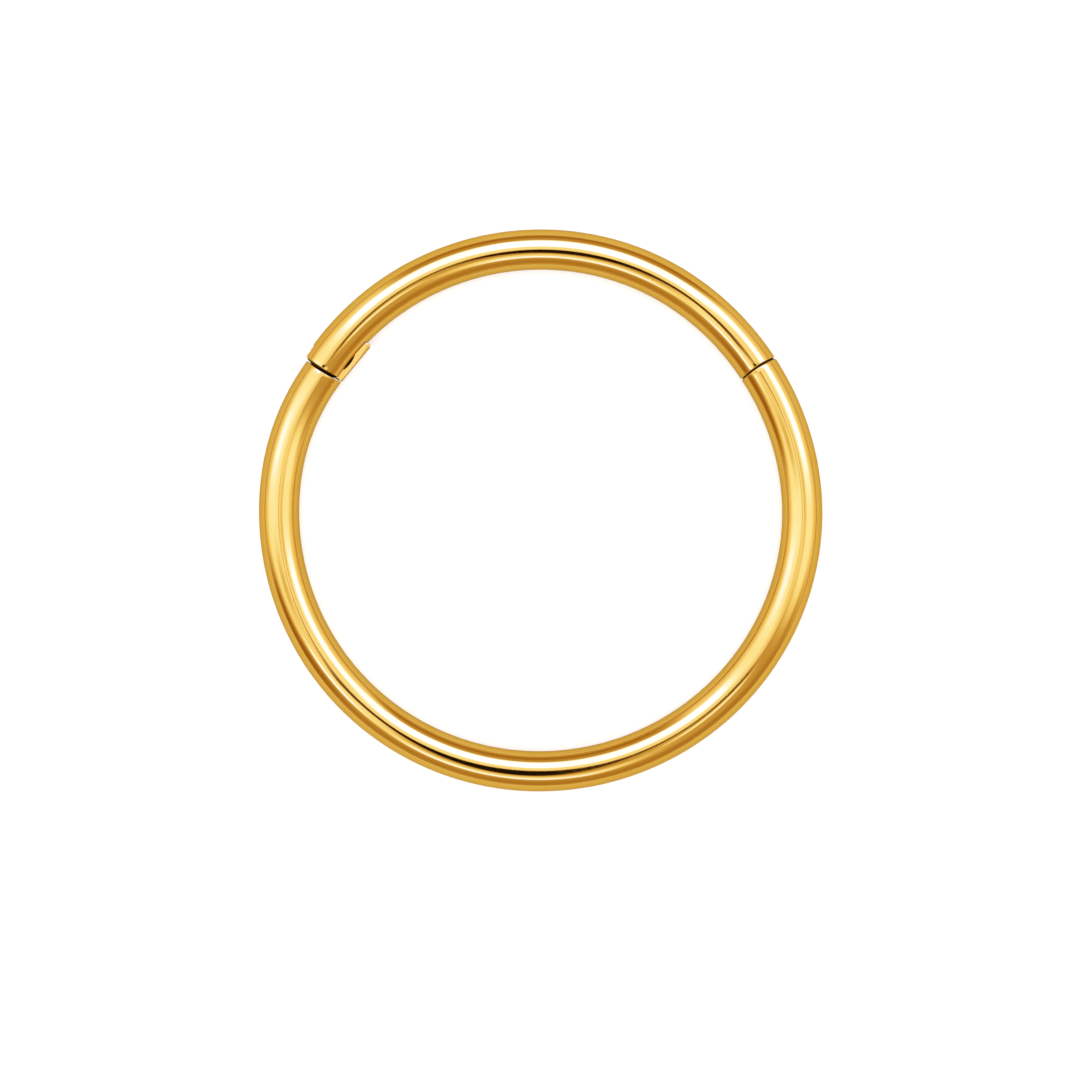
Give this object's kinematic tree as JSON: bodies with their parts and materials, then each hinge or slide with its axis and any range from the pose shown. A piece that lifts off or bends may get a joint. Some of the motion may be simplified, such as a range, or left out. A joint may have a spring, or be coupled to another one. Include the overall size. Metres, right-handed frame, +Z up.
{
  "type": "nose ring",
  "caption": "Hinged segment ring of round wire: a short gate swings open on a hidden pin and shuts against the longer hoop.",
  "frame": {"origin": "centre of the ring at its underside, where it lies flat on a surface", "axes": "+Z up, along the ring's axis; +Y towards the middle of the gate, between the hinge at upper left and the clasp at upper right"},
  "size_m": [0.014, 0.014, 0.001],
  "materials": {
    "gold": "highly polished yellow gold plating",
    "pin_steel": "plain drawn wire"
  },
  "bodies": {
    "hoop": {"hoop_arc": "gold", "hinge_leaf": "gold"},
    "gate": {"gate_segment": "gold", "hinge_pin": "pin_steel", "catch_tongue": "gold"}
  },
  "joints": [
    {"name": "gate_hinge", "type": "hinge", "parent": "hoop", "child": "gate", "pos_m": [-0.00553, 0.00392, 0], "axis": [0, 0, 1], "range_deg": [0, 100]}
  ]
}
